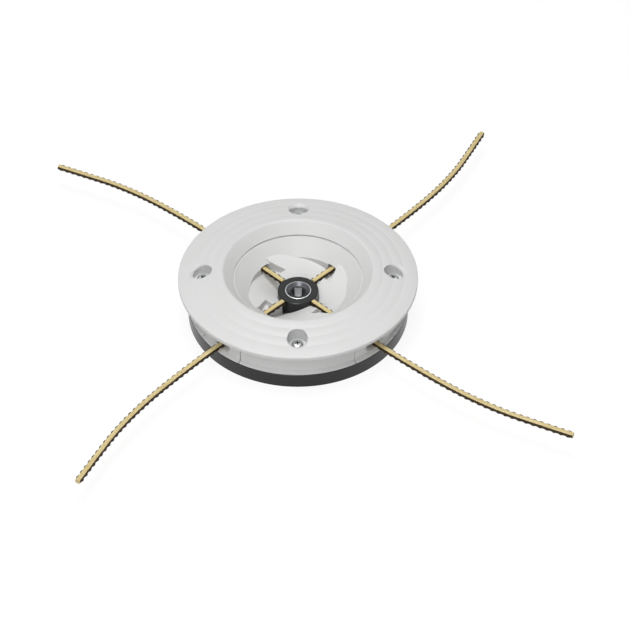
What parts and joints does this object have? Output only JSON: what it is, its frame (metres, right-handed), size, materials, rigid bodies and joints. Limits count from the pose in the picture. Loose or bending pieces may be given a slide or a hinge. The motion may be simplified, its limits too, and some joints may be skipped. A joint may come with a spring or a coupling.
{
  "type": "fixed line trimmer head",
  "caption": "Round trimmer head, ground side up, with a rippled wear flange, a funnel with spiral ramps round a steel nut, and stiff notched cutting lines held by cams.",
  "frame": {"origin": "on the head's axis, at the machine side face of the base, on which it stands", "axes": "+Z along the head's axis, from the machine side to the ground side; the lines leave midway between X and Y"},
  "size_m": [0.3256, 0.3256, 0.0356],
  "materials": {
    "white_plastic": "satin",
    "dark_plastic": "satin",
    "bright_steel": "bright",
    "dark_steel": "satin",
    "line_nylon": "satin"
  },
  "bodies": {
    "head": {"base_shell": "dark_plastic", "cam_pin_1": "bright_steel", "cam_pin_2": "bright_steel", "cam_pin_3": "bright_steel", "cam_pin_4": "bright_steel", "cam_spring_1": "dark_steel", "cam_spring_2": "dark_steel", "cam_spring_3": "dark_steel", "cam_spring_4": "dark_steel", "cover_screws": "bright_steel", "cover_shell": "white_plastic", "exit_insert_1": "white_plastic", "exit_insert_2": "white_plastic", "exit_insert_3": "white_plastic", "exit_insert_4": "white_plastic", "guide_cup": "white_plastic", "hub_nut": "bright_steel", "line_1": "line_nylon", "line_2": "line_nylon", "line_3": "line_nylon", "line_4": "line_nylon"},
    "clamp_1": {"clamp_cam_1": "dark_steel"},
    "clamp_2": {"clamp_cam_2": "dark_steel"},
    "clamp_3": {"clamp_cam_3": "dark_steel"},
    "clamp_4": {"clamp_cam_4": "dark_steel"}
  },
  "joints": [
    {"name": "clamp_1_turn", "type": "hinge", "parent": "head", "child": "clamp_1", "pos_m": [0.04349, 0.03005, 0.016], "axis": [0, 0, 1], "range_deg": [0, 20], "stiffness_Nm_per_rad": 0.02, "springref_deg": -11.46, "deforming": ["cam_spring_1"]},
    {"name": "clamp_2_turn", "type": "hinge", "parent": "head", "child": "clamp_2", "pos_m": [-0.03005, 0.04349, 0.016], "axis": [0, 0, 1], "range_deg": [0, 20], "stiffness_Nm_per_rad": 0.02, "springref_deg": -11.46, "deforming": ["cam_spring_2"]},
    {"name": "clamp_3_turn", "type": "hinge", "parent": "head", "child": "clamp_3", "pos_m": [-0.04349, -0.03005, 0.016], "axis": [0, 0, 1], "range_deg": [0, 20], "stiffness_Nm_per_rad": 0.02, "springref_deg": -11.46, "deforming": ["cam_spring_3"]},
    {"name": "clamp_4_turn", "type": "hinge", "parent": "head", "child": "clamp_4", "pos_m": [0.03005, -0.04349, 0.016], "axis": [0, 0, 1], "range_deg": [0, 20], "stiffness_Nm_per_rad": 0.02, "springref_deg": -11.46, "deforming": ["cam_spring_4"]}
  ]
}
